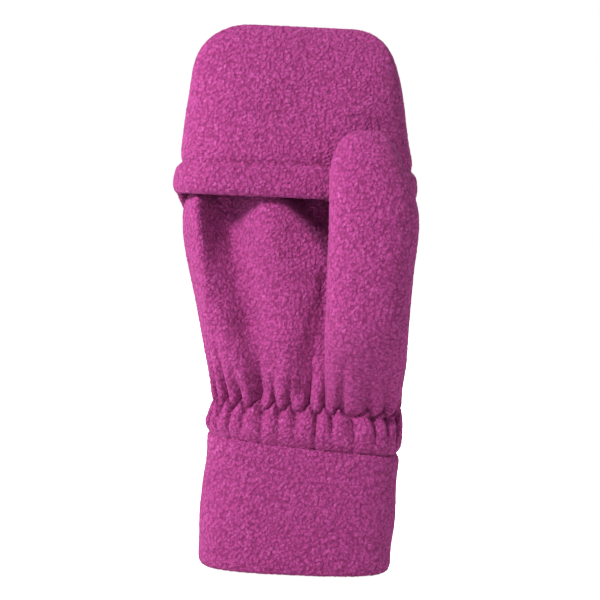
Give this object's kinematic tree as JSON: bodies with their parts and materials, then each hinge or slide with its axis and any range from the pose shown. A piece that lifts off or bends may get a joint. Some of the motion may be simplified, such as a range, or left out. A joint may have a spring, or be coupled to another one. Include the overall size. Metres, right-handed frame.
{
  "type": "convertible flip-top mitten",
  "caption": "Right-hand fleece convertible mitten with a hood that flips back off half-finger sleeves, a sewn-on thumb and an elastic wrist above a folded cuff.",
  "frame": {"origin": "centre of the cuff's folded lower edge, in the plane that the cuff rests on", "axes": "+Z from the cuff to the fingertips, -Y the palm side, +Y the back of the hand, +X the thumb side"},
  "size_m": [0.1138, 0.0791, 0.25],
  "materials": {
    "fleece": "brushed polyester fleece, matte with a soft sheen, magenta",
    "thread": "polyester sewing thread, slightly darker than the fleece",
    "elastic": "knitted white elastic",
    "loop_tape": "looped fastener tape, soft side",
    "hook_tape": "hooked fastener tape, moulded side",
    "label": "blank satin ribbon"
  },
  "bodies": {
    "hand": {"cuff_band": "fleece", "care_label": "label", "palm_panel": "fleece", "back_panel": "fleece", "thumb_gusset": "fleece", "little_finger_sleeve": "fleece", "ring_finger_sleeve": "fleece", "middle_finger_sleeve": "fleece", "index_finger_sleeve": "fleece", "finger_sleeve_hems": "fleece", "wrist_elastic": "elastic", "elastic_stitching": "thread", "cuff_joining_stitching": "thread", "hand_side_seams": "thread", "hood_attachment_stitching": "thread", "cuff_side_seam": "thread", "loop_patch": "loop_tape"},
    "hood": {"hood_front_panel": "fleece", "hood_back_panel": "fleece", "hood_hem": "fleece", "hood_hem_stitching": "thread", "hood_edge_seam": "thread", "hook_patch": "hook_tape"},
    "thumb": {"thumb_front_panel": "fleece", "thumb_back_panel": "fleece", "thumb_seam": "thread"}
  },
  "joints": [
    {"name": "hood_flip", "type": "hinge", "parent": "hand", "child": "hood", "pos_m": [0, 0.022, 0.152], "axis": [-1, 0, 0], "range_deg": [0, 178]},
    {"name": "thumb_swing", "type": "hinge", "parent": "hand", "child": "thumb", "pos_m": [0.0275, -0.0372, 0.104], "axis": [0, 1, 0], "range_deg": [-10, 50], "stiffness_Nm_per_rad": 0.01}
  ]
}
